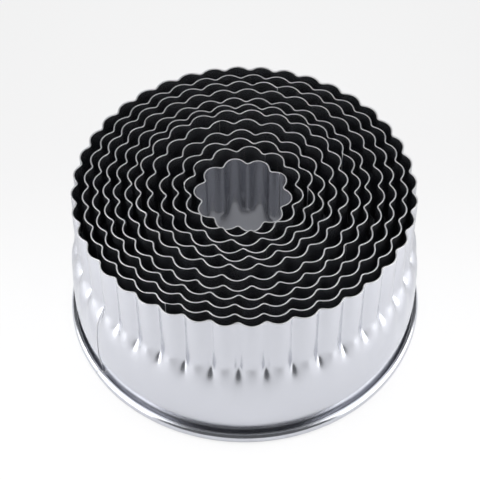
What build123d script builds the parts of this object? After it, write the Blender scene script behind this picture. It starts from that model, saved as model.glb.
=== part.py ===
from build123d import *
import math
import os

# A nested set of round fluted cutters. Each cutter is one strip of steel, pressed into flutes along
# its cutting edge, joined end over end, and rolled outwards at its foot. All of them stand on z = 0
# with their cutting edges up, the smallest in the middle and the largest outside.

# Strip, and the heights of its zones
wall_thickness = 0.4
cutter_height = 52.1
fluted_height = 19.5
shoulder_height = 4.0

# Rolled foot: an oval roll that hangs outside the wall, pressed flat where it stands
roll_width = 2.5
roll_height = 3.0
roll_land = 0.9
roll_end_gap = 0.8

# Wall of the smallest cutter at its foot, and the play of each roll inside the next wall
smallest_wall_radius = 14.35
nest_play = 0.93

# Pressing the flutes draws the strip in, more on a large cutter than on a small one
gather_smallest = 0.15
gather_largest = 2.05
flute_rise_smallest = 2.1
flute_rise_largest = 1.4

# Lapped ends of the strip
lap_width = 7.0
lap_trim = 1.0

# The largest distance of a flat from the round that it stands for, and the overrun of every cut
flat_sag = 0.23
cut_overrun = 1.0

# Smallest cutter first
flute_counts = (10, 12, 14, 17, 20, 23, 26, 29, 31, 34, 37, 40)
height_shares = (0.968, 0.996, 0.995, 0.995, 1.003, 1.010, 1.001, 0.997, 1.0, 1.0, 1.0, 1.0)
play_shares = (0.89, 1.13, 0.97, 1.29, 1.16, 0.90, 0.90, 1.15, 0.91, 0.86, 0.80)

# Where each cutter stands in the next larger one, in shares of its play, to the right and to the back
rest_shares = (
    (-0.18, -0.48),
    (0.05, 0.05),
    (0.30, -0.33),
    (0.22, -0.37),
    (-0.12, -0.17),
    (-0.42, 0.45),
    (0.25, 0.24),
    (-0.41, -0.23),
    (-0.13, -0.12),
    (-0.30, 0.19),
    (0.26, -0.41),
)

# Turn of one flute crest from +X, and of the lapped joint, in degrees
flute_turns = (-6.8, -8.1, -10.2, 5.4, -4.6, 4.8, 3.4, -5.5, -5.2, -3.8, -1.4, 2.1)
joint_turns = (62.0, 171.0, 20.0, -75.0, 118.0, -160.0, 35.0, -35.0, 146.0, 84.0, -118.0, -146.5)

# Each flute is pressed in this many flats, and the roll's outside in the flats between these angles
flats_per_flute = 3
roll_angles = (0.0, 60.0)
# Part of the gather that the plain wall already shows between its foot and its shoulder
wall_lean_share = 0.3

count = len(flute_counts)


def nested_wall_radii():
    """Middle of each wall at its foot: a wall clears the roll of the cutter inside it by the play."""
    radii = [smallest_wall_radius]
    for play_share in play_shares:
        radii.append(radii[-1] + roll_width + nest_play * play_share)
    return radii


def resting_places():
    """Centre of each cutter, worked inwards from the largest, which stands at the origin."""
    places = [(0.0, 0.0)]
    for play_share, (right, back) in zip(reversed(play_shares), reversed(rest_shares)):
        play = nest_play * play_share
        x, y = places[0]
        places.insert(0, (x + play * right, y + play * back))
    return places


def between(smallest, largest, index):
    """A size that changes evenly from the smallest cutter to the largest."""
    return smallest + (largest - smallest) * index / (count - 1)


def at_angle(radius, angle, z=0.0):
    return (radius * math.cos(angle), radius * math.sin(angle), z)


def wall_flats(flutes, radius):
    """Flats in the round wall: a whole number to each flute, so that they meet at its cusps."""
    fewest = math.pi / math.acos(1 - flat_sag / radius)
    return flutes * math.ceil(fewest / flutes)


def flute_outline(crest_radius, rise, flutes, first_crest, offset):
    """Closed outline of the fluted ring: arcs that bulge outwards and meet in inward cusps."""
    half_pitch = math.pi / flutes
    cusp_radius = (crest_radius - rise) / math.cos(half_pitch)
    half_chord = cusp_radius * math.sin(half_pitch)
    arc_radius = (half_chord**2 + rise**2) / (2 * rise)
    centre_radius = crest_radius - arc_radius
    drawn_radius = arc_radius + offset
    cusp = centre_radius * math.cos(half_pitch) + math.sqrt(
        drawn_radius**2 - (centre_radius * math.sin(half_pitch)) ** 2
    )
    half_sweep = math.atan2(cusp * math.sin(half_pitch), cusp * math.cos(half_pitch) - centre_radius)
    points = []
    for flute in range(flutes):
        crest = first_crest + 2 * half_pitch * flute
        centre_x, centre_y, _ = at_angle(centre_radius, crest)
        for step in range(flats_per_flute):
            sweep_angle = crest + half_sweep * (2 * step / flats_per_flute - 1)
            x, y, _ = at_angle(drawn_radius, sweep_angle)
            points.append((centre_x + x, centre_y + y))
    return make_face(Polyline(*points, close=True))


def foot_section(wall_lean, shoulder_foot):
    """Section of the rolled foot and plain wall, drawn outwards from the middle of the wall."""
    half_wall = wall_thickness / 2
    roll_centre = roll_width / 2 - half_wall
    roll_rise = roll_height / 2
    crease_share = (roll_width / 2 - wall_thickness) / (roll_width / 2)
    crease = roll_rise * (1 + math.sqrt(1 - crease_share**2))
    points = [(-half_wall, 0), (roll_centre + roll_land / 2, 0)]
    for angle in roll_angles:
        across = roll_width / 2 * math.cos(math.radians(angle))
        up = roll_rise * math.sin(math.radians(angle))
        points.append((roll_centre + across, roll_rise + up))
    points.append((half_wall, crease))
    points.append((half_wall - wall_lean, shoulder_foot))
    points.append((-half_wall - wall_lean, shoulder_foot))
    return points


def shoulder_section(side, wall_lean, cusp_inset, shoulder_foot, shoulder_top):
    """Section under the slope where the round wall runs up into the flutes, as far in as needed."""
    return [
        (side - wall_lean, shoulder_foot),
        (side - cusp_inset, shoulder_top),
        (-2 * cusp_inset, shoulder_top),
        (-2 * cusp_inset, shoulder_foot),
    ]


def carried_round(points, radius, flats, first_corner):
    """A section carried round the axis along flats with mitred corners."""
    corners = [at_angle(radius, first_corner + 2 * math.pi * i / flats) for i in range(flats)]
    start, end = Vector(*corners[0]), Vector(*corners[1])
    middle = (start + end) * 0.5
    across_flat = Plane(origin=middle, x_dir=middle.normalized(), z_dir=(start - end).normalized())
    section = across_flat * make_face(Polyline(*points, close=True))
    path = Polyline(*corners, close=True)
    return sweep(section, path=path, transition=Transition.RIGHT)


def lapped_end(radius, wall_lean, joint, low, high, side):
    """One end of the strip: it climbs off the wall over the lap and stops in a step one wall thick."""
    half_wall = wall_thickness / 2
    outline = [
        at_angle(radius, joint - side * lap_width / radius, low),
        at_angle(radius + side * (half_wall + wall_thickness), joint, low),
        at_angle(radius, joint, low),
    ]
    lean = Vector(*at_angle(-wall_lean, joint, high - low))
    return extrude(make_face(Polyline(*outline, close=True)), amount=lean.length, dir=lean.normalized())


def fluted_cutter(index, wall_radius):
    flutes = flute_counts[index]
    height = cutter_height * height_shares[index]
    gather = between(gather_smallest, gather_largest, index)
    rise = between(flute_rise_smallest, flute_rise_largest, index)
    crest_radius = wall_radius - gather
    wall_lean = gather * wall_lean_share
    half_wall = wall_thickness / 2
    half_pitch = math.pi / flutes
    shoulder_top = height - fluted_height
    shoulder_foot = shoulder_top - shoulder_height
    first_crest = math.radians(flute_turns[index])
    first_cusp = first_crest - half_pitch
    flats = wall_flats(flutes, wall_radius)
    cusp_inset = wall_radius - (crest_radius - rise) / math.cos(half_pitch)

    foot = carried_round(foot_section(wall_lean, shoulder_foot), wall_radius, flats, first_cusp)

    # The outside and the inside of the upper zone are alike: flutes above, a slope below them
    sides = []
    for side in (half_wall, -half_wall):
        flute_face = flute_outline(crest_radius, rise, flutes, first_crest, side)
        slope = shoulder_section(side, wall_lean, cusp_inset, shoulder_foot, shoulder_top)
        fluted = extrude(Pos(0, 0, shoulder_foot) * flute_face, amount=height - shoulder_foot)
        sides.append(fluted + carried_round(slope, wall_radius, flats, first_cusp))
    outside, inside = sides
    upper = outside - inside

    joint = math.radians(joint_turns[index])
    outer_end = lapped_end(wall_radius, wall_lean, joint, roll_height - half_wall, shoulder_foot, 1)
    inner_end = lapped_end(wall_radius, wall_lean, joint, roll_height + lap_trim, shoulder_foot, -1)
    roll_gap = Pos(*at_angle(wall_radius + half_wall + roll_width / 2, joint, roll_height / 2)) * (
        Rot(0, 0, math.degrees(joint)) * Box(roll_width, roll_end_gap, roll_height + 2 * cut_overrun)
    )
    return foot + upper + outer_end + inner_end - roll_gap


os.makedirs("parts", exist_ok=True)
wall_radii = nested_wall_radii()
places = resting_places()
for index in range(count):
    x, y = places[index]
    cutter = Pos(x, y, 0) * fluted_cutter(index, wall_radii[index])
    export_step(cutter, f"parts/fluted_cutter_{index + 1:02d}.step")
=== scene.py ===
import math

import bmesh
import bpy
from bpy.props import (
    FloatProperty,
    FloatVectorProperty,
    IntProperty,
    IntVectorProperty,
    PointerProperty,
)
from mathutils import Matrix, Vector, noise


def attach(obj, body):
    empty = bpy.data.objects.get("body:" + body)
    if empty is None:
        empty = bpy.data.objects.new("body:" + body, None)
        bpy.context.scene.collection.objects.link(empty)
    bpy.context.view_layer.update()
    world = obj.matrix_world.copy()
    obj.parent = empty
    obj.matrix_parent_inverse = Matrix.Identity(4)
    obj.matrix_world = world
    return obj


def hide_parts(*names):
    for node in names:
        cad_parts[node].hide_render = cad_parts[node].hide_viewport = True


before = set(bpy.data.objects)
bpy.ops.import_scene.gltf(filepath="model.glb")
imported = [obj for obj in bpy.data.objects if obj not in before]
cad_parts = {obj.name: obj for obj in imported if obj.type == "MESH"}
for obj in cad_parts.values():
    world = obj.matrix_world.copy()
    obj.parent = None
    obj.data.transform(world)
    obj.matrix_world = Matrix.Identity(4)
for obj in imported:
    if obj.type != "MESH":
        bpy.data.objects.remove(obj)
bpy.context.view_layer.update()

bl_info = {
    "name": "Nested Fluted Cutters",
    "version": (1, 0, 0),
    "blender": (4, 5, 0),
    "location": "3D View > Sidebar > Cutters",
    "description": "Twelve fluted round cutters of polished steel strip, nested with their cutting edges up",
    "category": "Object",
}

# Every length is in metres and every angle in radians. The smallest cutter comes first.
CUTTERS = 12
NODE_NAMES = [f"fluted_cutter_{number:02d}" for number in range(1, CUTTERS + 1)]
BODY_NAMES = [f"cutter_{number:02d}" for number in range(1, CUTTERS + 1)]

# How softly the wall's ramps start, and the lengths after which a groove has all but run out
RAMP_START = 0.5
DENT_LENGTHS = 3

# Thickness of the strip's ends over the lap as a share of the wall's, and the air between them
LAP_THINNING_SHARE = 0.5
LAYER_AIR = 0.000005

# Rounding of a sheared edge
EDGE_BREAK = 0.00006

# Unevenness: length of its waves, how much of the height they see, and the step between cutters
WAVE_LENGTH = 0.011
WAVE_STRETCH = 0.6
WAVE_SEED_STEP = 7.3


def degrees_of(*turns):
    return tuple(math.radians(turn) for turn in turns)


class StripSizes(bpy.types.PropertyGroup):
    """The strip that every cutter is made of, and the zones of its wall."""

    wall_thickness: FloatProperty(
        name="Wall thickness",
        description="Thickness of the steel strip",
        default=0.0004,
        unit="LENGTH",
        precision=5,
    )
    cutter_height: FloatProperty(
        name="Height",
        description="From the foot to the cutting edge of the largest cutter",
        default=0.0521,
        unit="LENGTH",
        precision=5,
    )
    fluted_height: FloatProperty(
        name="Fluted height",
        description="From the cutting edge to where the grooves begin to run out",
        default=0.0201,
        unit="LENGTH",
        precision=5,
    )
    dent_height: FloatProperty(
        name="Dent height",
        description="Height over which the grooves do most of their climb out into the wall",
        default=0.0031,
        unit="LENGTH",
        precision=5,
    )
    bell_start: FloatProperty(
        name="Bell start",
        description="Depth below the cutting edge where the wall begins to widen",
        default=0.0190,
        unit="LENGTH",
        precision=5,
    )
    bell_length: FloatProperty(
        name="Bell length",
        description="Height over which the wall does most of its widening",
        default=0.0041,
        unit="LENGTH",
        precision=5,
    )
    barrel: FloatProperty(
        name="Barrel",
        description="How far the widened wall swells past its place at the foot",
        default=0.0005,
        unit="LENGTH",
        precision=5,
    )
    neck_depth: FloatProperty(
        name="Neck depth",
        description="How far the wall draws in again above the rolled foot",
        default=0.00074,
        unit="LENGTH",
        precision=5,
    )
    neck_height: FloatProperty(
        name="Neck height",
        description="Height over which the wall draws in above the rolled foot",
        default=0.0090,
        unit="LENGTH",
        precision=5,
    )
    neck_foot: FloatProperty(
        name="Neck foot",
        description="Height at which the wall stops drawing in",
        default=0.0022,
        unit="LENGTH",
        precision=5,
    )
    cusp_bend_share: FloatProperty(
        name="Cusp bend",
        description="Share of a half flute taken up by the tight bend between two flutes",
        default=0.22,
        min=0.05,
        max=0.9,
    )
    scoop_bend_share: FloatProperty(
        name="Scoop bend",
        description="The same share at the end of a groove, where it opens into a soft scoop",
        default=0.56,
        min=0.05,
        max=0.9,
    )
    unevenness: FloatProperty(
        name="Unevenness",
        description="How far the pressed wall strays from its true form",
        default=0.00005,
        unit="LENGTH",
        precision=5,
    )
    lap_width: FloatProperty(
        name="Lap width",
        description="Width of the lap where the strip's ends are joined",
        default=0.0070,
        unit="LENGTH",
        precision=5,
    )
    lap_easing: FloatProperty(
        name="Lap easing",
        description="Length over which each end settles back onto the round wall",
        default=0.0030,
        unit="LENGTH",
        precision=5,
    )


class RollSizes(bpy.types.PropertyGroup):
    """The rolled foot: the strip curls out, up and over, and stops short of the wall."""

    width: FloatProperty(
        name="Width",
        description="Width of the oval roll",
        default=0.00270,
        unit="LENGTH",
        precision=5,
    )
    height: FloatProperty(
        name="Height",
        description="Height of the oval roll",
        default=0.0034,
        unit="LENGTH",
        precision=5,
    )
    end_turn: FloatProperty(
        name="End turn",
        description="How far past its outermost point the curl goes on",
        default=math.radians(98),
        unit="ROTATION",
    )
    land: FloatProperty(
        name="Land",
        description="Height above the roll where the inner end of the strip is cut away",
        default=0.0010,
        unit="LENGTH",
        precision=5,
    )


class NestSizes(bpy.types.PropertyGroup):
    """The twelve cutters and how they stand in each other."""

    smallest_wall_radius: FloatProperty(
        name="Smallest wall radius",
        description="Middle of the smallest cutter's wall at its foot",
        default=0.01435,
        unit="LENGTH",
        precision=5,
    )
    wall_step: FloatProperty(
        name="Wall step",
        description="Step from one wall to the next larger one, without the play",
        default=0.0025,
        unit="LENGTH",
        precision=5,
    )
    nest_play: FloatProperty(
        name="Nest play",
        description="Play of a roll inside the next wall",
        default=0.00093,
        unit="LENGTH",
        precision=5,
    )
    gather_smallest: FloatProperty(
        name="Least gather",
        description="How far the flutes draw in the smallest cutter",
        default=0.00015,
        unit="LENGTH",
        precision=5,
    )
    gather_largest: FloatProperty(
        name="Most gather",
        description="How far the flutes draw in the largest cutter",
        default=0.00205,
        unit="LENGTH",
        precision=5,
    )
    rise_smallest: FloatProperty(
        name="Rise, smallest",
        description="Height of a flute over its grooves on the smallest cutter",
        default=0.0021,
        unit="LENGTH",
        precision=5,
    )
    rise_largest: FloatProperty(
        name="Rise, largest",
        description="Height of a flute over its grooves on the largest cutter",
        default=0.0014,
        unit="LENGTH",
        precision=5,
    )
    flute_counts: IntVectorProperty(
        name="Flutes",
        description="Number of flutes round each cutter",
        size=CUTTERS,
        default=(10, 12, 14, 17, 20, 23, 26, 29, 31, 34, 37, 40),
    )
    height_shares: FloatVectorProperty(
        name="Height shares",
        description="Height of each cutter as a share of the largest one's",
        size=CUTTERS,
        default=(0.968, 0.996, 0.995, 0.995, 1.003, 1.010, 1.001, 0.997, 1.0, 1.0, 1.0, 1.0),
    )
    play_shares: FloatVectorProperty(
        name="Play shares",
        description="Room round each roll as a share of the nest play",
        size=CUTTERS - 1,
        default=(0.89, 1.13, 0.97, 1.29, 1.16, 0.90, 0.90, 1.15, 0.91, 0.86, 0.80),
    )
    right_shares: FloatVectorProperty(
        name="Right shares",
        description="Where each cutter stands in the next one, to the right, in shares of its play",
        size=CUTTERS - 1,
        default=(-0.18, 0.05, 0.30, 0.22, -0.12, -0.42, 0.25, -0.41, -0.13, -0.30, 0.26),
    )
    back_shares: FloatVectorProperty(
        name="Back shares",
        description="Where each cutter stands in the next one, to the back, in shares of its play",
        size=CUTTERS - 1,
        default=(-0.48, 0.05, -0.33, -0.37, -0.17, 0.45, 0.24, -0.23, -0.12, 0.19, -0.41),
    )
    flute_turns: FloatVectorProperty(
        name="Flute turns",
        description="Turn of one flute's crest from the right on each cutter",
        size=CUTTERS,
        unit="ROTATION",
        default=degrees_of(-6.8, -8.1, -10.2, 5.4, -4.6, 4.8, 3.4, -5.5, -5.2, -3.8, -1.4, 2.1),
    )
    joint_turns: FloatVectorProperty(
        name="Joint turns",
        description="Turn of the strip's outer end from the right on each cutter",
        size=CUTTERS,
        unit="ROTATION",
        default=degrees_of(
            62.0, 171.0, 20.0, -75.0, 118.0, -160.0, 35.0, -35.0, 146.0, 84.0, -118.0, -146.5
        ),
    )


class MeshSteps(bpy.types.PropertyGroup):
    """How finely the strip is divided."""

    columns_per_flute: IntProperty(
        name="Columns per flute",
        description="Divisions of each flute along the strip",
        default=16,
        min=6,
        max=32,
    )
    fluted_rows: IntProperty(
        name="Fluted rows",
        description="Divisions of the straight flutes",
        default=8,
        min=2,
    )
    dent_rows: IntProperty(
        name="Dent rows",
        description="Divisions where the grooves run out",
        default=22,
        min=4,
    )
    wall_rows: IntProperty(
        name="Wall rows",
        description="Divisions of the plain wall",
        default=10,
        min=2,
    )
    curl_rows: IntProperty(
        name="Curl rows",
        description="Divisions of the rolled foot",
        default=20,
        min=8,
    )
    crowding: FloatProperty(
        name="Crowding",
        description="How much the columns crowd towards the grooves",
        default=0.5,
        min=0.0,
        max=0.9,
    )


class SteelFinish(bpy.types.PropertyGroup):
    """Colours and polish of the steel."""

    steel_colour: FloatVectorProperty(
        name="Steel colour",
        description="Colour of the polished strip",
        subtype="COLOR",
        size=3,
        default=(0.60, 0.61, 0.65),
    )
    # Far brighter than the strip's own colour: partly bare cut steel, partly a painted highlight that makes
    # the rims read as light lines
    edge_colour_with_highlight: FloatVectorProperty(
        name="Edge colour",
        description="Colour of the cut edges",
        subtype="COLOR",
        size=3,
        default=(0.93, 0.93, 0.94),
    )
    polish_roughness: FloatProperty(
        name="Polish",
        description="Roughness of the polished strip",
        default=0.2,
        min=0.0,
        max=1.0,
    )
    edge_roughness: FloatProperty(
        name="Edge roughness",
        description="Roughness of the cut edges",
        default=0.6,
        min=0.0,
        max=1.0,
    )


class StudioSettings(bpy.types.PropertyGroup):
    """Floor, lamps, cards, room and camera."""

    floor_colour: FloatVectorProperty(
        name="Floor colour",
        description="Colour of the floor",
        subtype="COLOR",
        size=3,
        default=(0.92, 0.92, 0.93),
    )
    floor_width: FloatProperty(
        name="Floor width",
        description="Width of the square floor",
        default=8.0,
        unit="LENGTH",
    )
    lamp_strength: FloatProperty(
        name="Lamp strength",
        description="Power of each side lamp",
        default=0.36,
        unit="POWER",
    )
    lamp_size: FloatVectorProperty(
        name="Lamp size",
        description="Width and height of each side lamp, which stands upright on the floor",
        size=2,
        default=(0.15, 0.28),
    )
    lamp_distance: FloatProperty(
        name="Lamp distance",
        description="From the middle of the object to each side lamp",
        default=0.13,
        unit="LENGTH",
    )
    lamp_shift: FloatProperty(
        name="Lamp shift",
        description="How far the side lamps stand in front of the middle of the object",
        default=0.058,
        unit="LENGTH",
    )
    top_lamp_strength: FloatProperty(
        name="Top lamp strength",
        description="Power of the lamp above, which the steel does not mirror",
        default=4.4,
        unit="POWER",
    )
    # The dark card in front glows and shows only in the steel: a painted dark reflection
    card_distance: FloatProperty(
        name="Card distance",
        description="From the middle of the object to the dark card in front of it",
        default=0.25,
        unit="LENGTH",
    )
    card_width: FloatProperty(
        name="Card width",
        description="Width and height of the dark card in front of the object",
        default=0.38,
        unit="LENGTH",
    )
    # The pale card above glows and shows only in the steel: a painted pale reflection
    top_card_height: FloatProperty(
        name="Top card height",
        description="Height of the pale card above the object",
        default=0.60,
        unit="LENGTH",
    )
    top_card_width: FloatProperty(
        name="Top card width",
        description="Width of the pale card above the object",
        default=0.26,
        unit="LENGTH",
    )
    room_strength: FloatProperty(
        name="Room strength",
        description="Brightness of the dim room round the lamps",
        default=0.10,
    )
    camera_place: FloatVectorProperty(
        name="Camera place",
        description="Where the camera stands",
        subtype="TRANSLATION",
        size=3,
        default=(-0.00135, -0.28911, 0.37805),
        precision=5,
    )
    camera_elevation: FloatProperty(
        name="Camera elevation",
        description="How steeply the camera looks down",
        default=math.radians(50.43),
        unit="ROTATION",
    )
    camera_roll: FloatProperty(
        name="Camera roll",
        description="Turn of the camera about its own axis",
        default=math.radians(-0.48),
        unit="ROTATION",
    )
    camera_lens: FloatProperty(
        name="Camera lens",
        description="Focal length of the camera in millimetres",
        default=112.9,
        min=1.0,
    )


class CutterSettings(bpy.types.PropertyGroup):
    """All settings of the nested cutters."""

    strip: PointerProperty(type=StripSizes)
    roll: PointerProperty(type=RollSizes)
    nest: PointerProperty(type=NestSizes)
    steps: PointerProperty(type=MeshSteps)
    finish: PointerProperty(type=SteelFinish)
    studio: PointerProperty(type=StudioSettings)


def settings():
    return bpy.context.scene.cutter_settings


def smooth_share(share):
    """Eases from 0 to 1 with level ends."""
    share = min(max(share, 0.0), 1.0)
    return share**3 * (share * (share * 6 - 15) + 10)


def settled_share(length):
    """Starts level at 0, climbs and settles towards 1 after some lengths."""
    length = max(length, 0.0)
    return 1 - math.exp(-(length**2) / (length + RAMP_START))


def even_steps(start, end, count):
    """Evenly spaced values from the start up to the end, without the end itself."""
    return [start + (end - start) * i / count for i in range(count)]


def between(smallest, largest, index):
    """A size that changes evenly from the smallest cutter to the largest."""
    return smallest + index / (CUTTERS - 1) * (largest - smallest)


def wall_radii(nest):
    """Middle of each wall at its foot: a wall clears the roll of the cutter inside it."""
    radii = [nest.smallest_wall_radius]
    for play_share in nest.play_shares:
        radii.append(radii[-1] + nest.wall_step + nest.nest_play * play_share)
    return radii


def resting_places(nest):
    """Centre of each cutter, worked inwards from the largest, which stands at the origin."""
    places = [Vector((0.0, 0.0, 0.0))]
    for play_share, right, back in zip(
        reversed(nest.play_shares), reversed(nest.right_shares), reversed(nest.back_shares)
    ):
        play = nest.nest_play * play_share
        places.insert(0, places[0] + Vector((right, back, 0.0)) * play)
    return places


def flute_wave(share, bend):
    """Drop and slope of a flute at a share of its half width: 0 on the crest, 1 in the groove."""
    round_part = 1.0 - bend
    if share <= round_part:
        return share**2 / round_part, 2 * share / round_part
    past = (share - round_part) / bend
    return round_part + 2 * bend * (past - past**2 / 2), 2 * (1 - past)


class Cutter:
    """One cutter's sizes, and the form that its strip is pressed and rolled into."""

    def __init__(self, index):
        chosen = settings()
        nest = chosen.nest
        self.strip, self.roll, self.steps = chosen.strip, chosen.roll, chosen.steps
        self.index = index
        self.flutes = nest.flute_counts[index]
        self.height = self.strip.cutter_height * nest.height_shares[index]
        self.wall_radius = wall_radii(nest)[index]
        self.place = resting_places(nest)[index]
        self.gather = between(nest.gather_smallest, nest.gather_largest, index)
        self.rise = between(nest.rise_smallest, nest.rise_largest, index)
        self.first_crest = nest.flute_turns[index]
        self.joint = nest.joint_turns[index]
        self.round_columns = self.flutes * self.steps.columns_per_flute
        self.column_width = 2 * math.pi * self.wall_radius / self.round_columns
        self.lap_columns = round(self.strip.lap_width / self.column_width)
        self.lap_length = self.lap_columns * self.column_width
        self.columns = self.round_columns + self.lap_columns

    def bell(self, depth):
        """Share of the widening that the wall has done at a depth below its cutting edge."""
        return settled_share((depth - self.strip.bell_start) / self.strip.bell_length)

    def profile(self):
        """Middle line of the strip from its cutting edge to the curl's end: way out and height."""
        strip, roll, steps = self.strip, self.roll, self.steps
        dent_top = strip.bell_start
        dent_foot = strip.fluted_height + DENT_LENGTHS * strip.dent_height
        curl_across = (roll.width - strip.wall_thickness) / 2
        curl_up = (roll.height - strip.wall_thickness) / 2
        curl_middle = roll.height / 2
        wall_foot = self.height - curl_middle
        depths = even_steps(0.0, dent_top, steps.fluted_rows)
        depths += even_steps(dent_top, dent_foot, steps.dent_rows)
        depths += even_steps(dent_foot, wall_foot, steps.wall_rows) + [wall_foot]
        line = []
        for depth in depths:
            widened = strip.barrel - (self.gather + strip.barrel) * (1 - self.bell(depth))
            height = self.height - depth
            neck_share = smooth_share(1 - (height - strip.neck_foot) / strip.neck_height)
            line.append((widened - strip.neck_depth * neck_share, height))
        sweep = math.pi + roll.end_turn
        foot_out = line[-1][0]
        for i in range(1, steps.curl_rows + 1):
            turn = math.pi + sweep * i / steps.curl_rows
            out = foot_out + curl_across * (1 + math.cos(turn))
            line.append((out, curl_middle + curl_up * math.sin(turn)))
        return line

    def layer_offset(self, column, height):
        """How far the strip lies off its middle line: its thinned ends lie on each other."""
        half_layer = self.strip.wall_thickness * LAP_THINNING_SHARE / 2 + LAYER_AIR
        above_trim = smooth_share((height - self.lap_foot()) / self.roll.land)
        from_start = column * self.column_width
        from_end = (self.columns - column) * self.column_width
        inner = 1 - smooth_share((from_start - self.lap_length) / self.strip.lap_easing)
        outer = 1 - smooth_share((from_end - self.lap_length) / self.strip.lap_easing)
        return half_layer * (outer - inner) * above_trim

    def lap_foot(self):
        """Lowest point of the inner end, which is cut away above the roll."""
        return self.roll.height + self.roll.land

    def full_thickness_share(self, column):
        """0 over the lap, where each end is thinned, and 1 on the plain strip."""
        past_lap = min(column, self.columns - column) * self.column_width - self.lap_length
        return smooth_share(past_lap / self.strip.lap_easing)

    def flute_share(self, depth):
        """What is left of a flute's form at a depth below the cutting edge."""
        return 1 - settled_share((depth - self.strip.fluted_height) / self.strip.dent_height)

    def stray(self, turn, height):
        """A slow unevenness of the pressed wall, alike for the same place every time."""
        spot = Vector((math.cos(turn), math.sin(turn), 0.0)) * self.wall_radius
        spot.z = height * WAVE_STRETCH
        seeded = spot / WAVE_LENGTH + Vector((0.0, 0.0, self.index * WAVE_SEED_STEP))
        return self.strip.unevenness * noise.noise(seeded)

    def point(self, column, row_values):
        """Place of one point of the strip."""
        out, height = row_values
        lap_turn = 2 * math.pi * self.lap_columns / self.round_columns
        turn = self.joint - lap_turn + 2 * math.pi * column / self.round_columns
        flute = (turn - self.first_crest) * self.flutes / (2 * math.pi)
        crest = math.floor(flute + 0.5)
        share = abs(flute - crest) * 2
        # The columns crowd towards the grooves, where the strip bends most
        share += self.steps.crowding * share * (1 - share)
        signed = math.copysign(share / 2, flute - crest)
        turn = self.first_crest + (crest + signed) * 2 * math.pi / self.flutes
        left = self.flute_share(self.height - height)
        bend = self.strip.scoop_bend_share * (1 - left) + self.strip.cusp_bend_share * left
        drop, slope = flute_wave(share, bend)
        # A groove keeps its place while the crests beside it flare out with the wall
        flare = out + self.gather
        depth = (self.rise + flare) * left
        radius = self.wall_radius + out - depth * drop + self.stray(turn, height)
        radius_slope = -depth * slope * math.copysign(self.flutes / math.pi, signed)
        along = Vector((math.cos(turn), math.sin(turn), 0.0))
        across = Vector((-math.sin(turn), math.cos(turn), 0.0))
        normal = (along * radius - across * radius_slope).normalized()
        place = self.place + along * radius + normal * self.layer_offset(column, height)
        place.z = height
        return place


def pressed_strip(cutter):
    """A flat strip, divided along and across, then pressed into flutes, wrapped round and curled."""
    line = cutter.profile()
    rows = len(line) - 1
    bm = bmesh.new()
    uv_layer = bm.loops.layers.uv.new("strip")
    thickness = bm.verts.layers.deform.new("full_thickness")
    bmesh.ops.create_grid(
        bm, x_segments=cutter.columns, y_segments=rows, size=1.0, calc_uvs=True
    )
    spots = {
        v: (round((v.co.x + 1) / 2 * cutter.columns), round((1 - v.co.y) / 2 * rows))
        for v in bm.verts
    }
    lengths = [0.0]
    for (out, height), (next_out, next_height) in zip(line, line[1:]):
        lengths.append(lengths[-1] + math.hypot(next_out - out, next_height - height))
    wall_rows = rows - cutter.steps.curl_rows
    cut_away = []
    for face in bm.faces:
        column = min(spots[v][0] for v in face.verts)
        row = min(spots[v][1] for v in face.verts)
        inner_end = column < cutter.lap_columns and line[row][1] < cutter.lap_foot()
        roll_gap = column == cutter.lap_columns and row >= wall_rows
        if inner_end or roll_gap:
            cut_away.append(face)
        for loop in face.loops:
            loop_column, loop_row = spots[loop.vert]
            loop[uv_layer].uv = (loop_column * cutter.column_width, lengths[loop_row])
    for v, (column, row) in spots.items():
        v.co = cutter.point(column, line[row])
        v[thickness][0] = cutter.full_thickness_share(column)
    bmesh.ops.delete(bm, geom=cut_away, context="FACES")
    bmesh.ops.recalc_face_normals(bm, faces=bm.faces)
    return bm


def outward(bm, centre):
    """Whether the strip's faces look away from its axis, judged on its upper wall."""
    top = max(v.co.z for v in bm.verts)
    score = 0.0
    for face in bm.faces:
        middle = face.calc_center_median()
        if middle.z > top / 2:
            away = Vector((middle.x - centre.x, middle.y - centre.y, 0.0))
            score += face.normal.dot(away)
    return score > 0


def borders_cut_edge(edge):
    """Whether the polished wall and a sheared edge of the strip meet there."""
    return len({face.material_index for face in edge.link_faces}) == 2


def with_crisp_edges(piece):
    """Applies the wall's thickness, breaks the sheared edges a little and keeps them crisp."""
    depsgraph = bpy.context.evaluated_depsgraph_get()
    thick = bpy.data.meshes.new_from_object(piece.evaluated_get(depsgraph))
    bm = bmesh.new()
    bm.from_mesh(thick)
    sheared = [edge for edge in bm.edges if borders_cut_edge(edge)]
    broken = bmesh.ops.bevel(
        bm,
        geom=sheared,
        offset=EDGE_BREAK,
        offset_type="OFFSET",
        segments=2,
        profile=0.5,
        affect="EDGES",
        material=-1,
    )
    for face in broken["faces"]:
        face.material_index = 1
    for edge in bm.edges:
        edge.smooth = not borders_cut_edge(edge)
    bm.to_mesh(thick)
    bm.free()
    piece.modifiers.clear()
    piece.data = thick


def mesh_object(bm, name, materials, smooth=True):
    """An object at the origin with the mesh and materials that it is given."""
    mesh = bpy.data.meshes.new(name)
    bm.to_mesh(mesh)
    bm.free()
    for material in materials:
        mesh.materials.append(material)
    if smooth:
        mesh.shade_smooth()
    piece = bpy.data.objects.new(name, mesh)
    bpy.context.scene.collection.objects.link(piece)
    return piece


class Shader:
    """A material's nodes, with short ways to add and join them."""

    def __init__(self, name):
        self.material = bpy.data.materials.new(name)
        self.material.use_nodes = True
        self.nodes = self.material.node_tree.nodes
        self.links = self.material.node_tree.links
        self.surface = self.nodes["Principled BSDF"]

    def node(self, kind, **values):
        made = self.nodes.new(kind)
        for name, value in values.items():
            if hasattr(made, name):
                setattr(made, name, value)
            else:
                made.inputs[name].default_value = value
        return made

    def join(self, source, output, target, socket):
        self.links.new(source.outputs[output], target.inputs[socket])


# The rest of the surface is a faint dull haze
METAL_SHARE = 0.96

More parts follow.
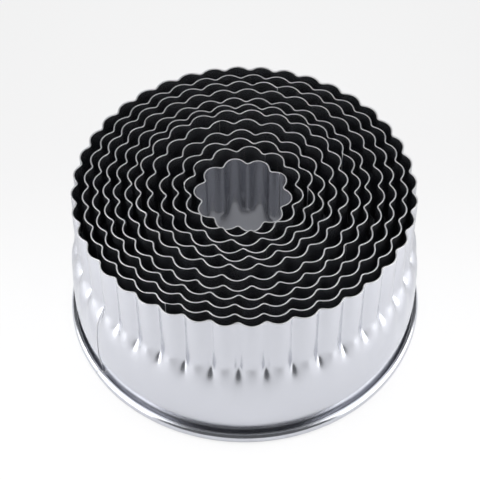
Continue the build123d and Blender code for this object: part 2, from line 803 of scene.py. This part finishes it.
# How many cells of noise a metre holds along and across the strip, and the detail inside them
LINE_GRAIN, LINE_DETAIL = (120.0, 9000.0), 3.0
SMUDGE_GRAIN, SMUDGE_DETAIL = (90.0, 70.0), 2.0
GRINDING_GRAIN, GRINDING_DETAIL = (2500.0, 300.0), 2.0

# Share of the lines in what roughens the polish, and how strongly and deeply they are raised
LINE_SHARE = 0.4
LINE_RELIEF = 0.06
LINE_DEPTH = 0.0001

# Least and most of the noise that counts, and least and most roughness in shares of the finish's
POLISH_NOISE, POLISH_SPREAD = (0.3, 0.7), (0.85, 1.2)
GRINDING_NOISE, GRINDING_SPREAD = (0.0, 1.0), (0.7, 1.3)


def steel_base(shader, colour, roughness):
    """Colour, polish and share of metal of a steel surface."""
    shader.surface.inputs["Base Color"].default_value = (*colour, 1.0)
    shader.surface.inputs["Metallic"].default_value = METAL_SHARE
    shader.surface.inputs["Roughness"].default_value = roughness


def strip_noise(shader, grain, detail):
    """Noise on the strip's own coordinates, which are in metres along and across it."""
    place = shader.node("ShaderNodeUVMap", uv_map="strip")
    scale = shader.node("ShaderNodeMapping")
    scale.inputs["Scale"].default_value = (*grain, 1.0)
    shader.join(place, "UV", scale, "Vector")
    marks = shader.node("ShaderNodeTexNoise", Scale=1.0, Detail=detail)
    shader.join(scale, "Vector", marks, "Vector")
    return marks


def roughened(shader, source, output, noise_range, roughness, spread_shares):
    """Roughness that runs between two shares of the finish's own with a texture."""
    spread = shader.node("ShaderNodeMapRange")
    spread.inputs["From Min"].default_value, spread.inputs["From Max"].default_value = noise_range
    for socket, share in zip(("To Min", "To Max"), spread_shares):
        spread.inputs[socket].default_value = roughness * share
    shader.join(source, output, spread, "Value")
    shader.join(spread, "Result", shader.surface, "Roughness")


def polished_steel():
    """Bright rolled strip: fine, barely raised lines along the strip, and soft smudges."""
    finish = settings().finish
    shader = Shader("polished_steel")
    steel_base(shader, finish.steel_colour, finish.polish_roughness)
    lines = strip_noise(shader, LINE_GRAIN, LINE_DETAIL)
    smudges = strip_noise(shader, SMUDGE_GRAIN, SMUDGE_DETAIL)
    mixed = shader.node("ShaderNodeMix", data_type="FLOAT")
    mixed.inputs["Factor"].default_value = LINE_SHARE
    shader.join(smudges, "Fac", mixed, 2)
    shader.join(lines, "Fac", mixed, 3)
    roughened(shader, mixed, 0, POLISH_NOISE, finish.polish_roughness, POLISH_SPREAD)
    bump = shader.node("ShaderNodeBump", Strength=LINE_RELIEF, Distance=LINE_DEPTH)
    shader.join(lines, "Fac", bump, "Height")
    shader.join(bump, "Normal", shader.surface, "Normal")
    return shader.material


def cut_edge_steel():
    """The sheared edge of the strip: rougher, with grinding marks across it, and brighter, partly as bare
    cut steel and partly as a painted highlight that makes the rims read as light lines.
    """
    finish = settings().finish
    shader = Shader("cut_edge_steel")
    steel_base(shader, finish.edge_colour_with_highlight, finish.edge_roughness)
    marks = strip_noise(shader, GRINDING_GRAIN, GRINDING_DETAIL)
    roughened(shader, marks, "Fac", GRINDING_NOISE, finish.edge_roughness, GRINDING_SPREAD)
    return shader.material


class CUTTERS_OT_make_cutters(bpy.types.Operator):
    """Make the twelve fluted cutters, each from one pressed, wrapped and curled strip"""

    bl_idname = "cutters.make_cutters"
    bl_label = "Make fluted cutters"

    def execute(self, context):
        steel, edge = polished_steel(), cut_edge_steel()
        for index in range(CUTTERS):
            cutter = Cutter(index)
            bm = pressed_strip(cutter)
            if not outward(bm, cutter.place):
                bmesh.ops.reverse_faces(bm, faces=bm.faces)
            piece = mesh_object(bm, f"steel_cutter_{index + 1:02d}", [steel, edge])
            wall = piece.modifiers.new("Wall", "SOLIDIFY")
            wall.thickness = cutter.strip.wall_thickness
            wall.vertex_group = piece.vertex_groups.new(name="full_thickness").name
            wall.thickness_vertex_group = LAP_THINNING_SHARE
            wall.offset = 0.0
            wall.use_even_offset = True
            wall.use_rim = True
            wall.material_offset_rim = 1
            with_crisp_edges(piece)
            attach(piece, BODY_NAMES[index])
            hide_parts(NODE_NAMES[index])
        return {"FINISHED"}


WHITE = (1.0, 1.0, 1.0, 1.0)
COOL_WHITE = (0.93, 0.96, 1.0, 1.0)
FLOOR_ROUGHNESS = 0.9
FLOOR_GLOSS = 0.1

# Share of plain white in the floor that the camera sees: the rest keeps the object's shadow
SEEN_GLOW_SHARE = 0.8

# Glow of a card in front of the object that only the steel sees: a painted dark reflection
PAINTED_FRONT_REFLECTION_GREY = 0.11
# Glow of a card above the object that only the steel sees: a painted pale reflection
PAINTED_TOP_REFLECTION_GREY = 0.5
TOP_LAMP_PLACE = (0.0, 0.0, 1.3)
TOP_LAMP_SIZE = (0.35, 0.35)

# Width of the camera's sensor in millimetres
SENSOR_WIDTH = 36.0


def floor_material():
    """Pale floor: the camera sees it near white, with the object's shadow kept."""
    studio = settings().studio
    shader = Shader("pale_floor")
    shader.surface.inputs["Base Color"].default_value = (*studio.floor_colour, 1.0)
    shader.surface.inputs["Roughness"].default_value = FLOOR_ROUGHNESS
    shader.surface.inputs["Specular IOR Level"].default_value = FLOOR_GLOSS
    glow = shader.node("ShaderNodeEmission", Color=WHITE, Strength=1.0)
    path = shader.node("ShaderNodeLightPath")
    seen = shader.node("ShaderNodeMath", operation="MULTIPLY")
    seen.inputs[1].default_value = SEEN_GLOW_SHARE
    mix = shader.node("ShaderNodeMixShader")
    shader.join(path, "Is Camera Ray", seen, 0)
    shader.join(seen, "Value", mix, "Fac")
    shader.join(shader.surface, "BSDF", mix, 1)
    shader.join(glow, "Emission", mix, 2)
    shader.join(mix, "Shader", shader.nodes["Material Output"], "Surface")
    return shader.material


def painted_reflection_card(name, grey, width, place, tilt):
    """A plain square card that glows with its grey and shows only in the polished steel: a painted
    reflection, which lights nothing and casts no shadow.
    """
    shader = Shader(name)
    glow = shader.node("ShaderNodeEmission", Color=COOL_WHITE, Strength=grey)
    shader.join(glow, "Emission", shader.nodes["Material Output"], "Surface")
    bm = bmesh.new()
    bmesh.ops.create_grid(bm, x_segments=1, y_segments=1, size=width / 2)
    placed = Matrix.Translation(place) @ Matrix.Rotation(tilt, 4, "X")
    bmesh.ops.transform(bm, matrix=placed, verts=bm.verts)
    card = mesh_object(bm, name, [shader.material], smooth=False)
    # Hidden from the camera, from shadows and from diffuse light: only a painted reflection
    card.visible_camera = False
    card.visible_shadow = False
    card.visible_diffuse = False


def lamp(name, place, aim, size, power):
    """A soft oblong lamp that stands at a place and looks at another."""
    data = bpy.data.lights.new(name, "AREA")
    data.shape = "RECTANGLE"
    data.size, data.size_y = size
    data.energy = power
    made = bpy.data.objects.new(name, data)
    bpy.context.scene.collection.objects.link(made)
    turned = (Vector(aim) - Vector(place)).to_track_quat("-Z", "Y").to_matrix().to_4x4()
    made.matrix_world = Matrix.Translation(place) @ turned
    return made


def room_light():
    """A dim room that is white only where the camera itself sees it."""
    world = bpy.data.worlds.new("room")
    bpy.context.scene.world = world
    world.use_nodes = True
    nodes, links = world.node_tree.nodes, world.node_tree.links
    dim = nodes["Background"]
    dim.inputs["Color"].default_value = COOL_WHITE
    dim.inputs["Strength"].default_value = settings().studio.room_strength
    white = nodes.new("ShaderNodeBackground")
    white.inputs["Color"].default_value = WHITE
    white.inputs["Strength"].default_value = 1.0
    path = nodes.new("ShaderNodeLightPath")
    mix = nodes.new("ShaderNodeMixShader")
    links.new(path.outputs["Is Camera Ray"], mix.inputs["Fac"])
    links.new(dim.outputs["Background"], mix.inputs[1])
    links.new(white.outputs["Background"], mix.inputs[2])
    links.new(mix.outputs["Shader"], nodes["World Output"].inputs["Surface"])


def studio_camera():
    """The camera, where the photograph was taken from."""
    studio = settings().studio
    data = bpy.data.cameras.new("camera")
    data.sensor_width = SENSOR_WIDTH
    data.lens = studio.camera_lens
    camera = bpy.data.objects.new("camera", data)
    bpy.context.scene.collection.objects.link(camera)
    pitch = Matrix.Rotation(math.pi / 2 - studio.camera_elevation, 4, "X")
    roll = Matrix.Rotation(studio.camera_roll, 4, "Z")
    camera.matrix_world = Matrix.Translation(studio.camera_place) @ pitch @ roll
    bpy.context.scene.camera = camera


class CUTTERS_OT_make_stage(bpy.types.Operator):
    """Make the floor, the cards, the lamps, the room and the camera"""

    bl_idname = "cutters.make_stage"
    bl_label = "Make stage"

    def execute(self, context):
        studio = settings().studio
        bm = bmesh.new()
        bmesh.ops.create_grid(bm, x_segments=1, y_segments=1, size=studio.floor_width / 2)
        floor = mesh_object(bm, "floor", [floor_material()], smooth=False)
        # Both cards glow and show only in the steel: painted reflections, dark in front and pale above
        front = (0.0, -studio.card_distance, studio.card_width / 2)
        painted_reflection_card("painted_front_reflection_card", PAINTED_FRONT_REFLECTION_GREY, studio.card_width, front, math.pi / 2)
        above = (0.0, 0.0, studio.top_card_height)
        painted_reflection_card("painted_top_reflection_card", PAINTED_TOP_REFLECTION_GREY, studio.top_card_width, above, 0.0)
        height = studio.lamp_size[1] / 2
        for name, side in (("left_lamp", -1), ("right_lamp", 1)):
            place = (side * studio.lamp_distance, -studio.lamp_shift, height)
            aim = (0.0, -studio.lamp_shift, height)
            lamp(name, place, aim, studio.lamp_size, studio.lamp_strength)
        middle = (0.0, 0.0, 0.0)
        power = studio.top_lamp_strength
        top_lamp = lamp("top_lamp", TOP_LAMP_PLACE, middle, TOP_LAMP_SIZE, power)
        top_lamp.visible_glossy = False
        room_light()
        studio_camera()
        bpy.context.scene.view_settings.view_transform = "Standard"
        return {"FINISHED"}


class CUTTERS_PT_panel(bpy.types.Panel):
    """The operators and settings in the sidebar"""

    bl_idname = "CUTTERS_PT_panel"
    bl_label = "Fluted cutters"
    bl_space_type = "VIEW_3D"
    bl_region_type = "UI"
    bl_category = "Cutters"

    def draw(self, context):
        for operator in OPERATORS:
            self.layout.operator(operator.bl_idname)
        for group in CutterSettings.__annotations__:
            box = self.layout.box()
            box.label(text=group.capitalize())
            values = getattr(context.scene.cutter_settings, group)
            for name in values.__annotations__:
                box.prop(values, name)


OPERATORS = (CUTTERS_OT_make_cutters, CUTTERS_OT_make_stage)
CLASSES = (
    StripSizes,
    RollSizes,
    NestSizes,
    MeshSteps,
    SteelFinish,
    StudioSettings,
    CutterSettings,
    *OPERATORS,
    CUTTERS_PT_panel,
)


def register():
    for cls in CLASSES:
        bpy.utils.register_class(cls)
    bpy.types.Scene.cutter_settings = PointerProperty(type=CutterSettings)


def unregister():
    del bpy.types.Scene.cutter_settings
    for cls in reversed(CLASSES):
        bpy.utils.unregister_class(cls)


def main():
    register()
    bpy.ops.cutters.make_cutters()
    bpy.ops.cutters.make_stage()


if __name__ == "__main__":
    main()
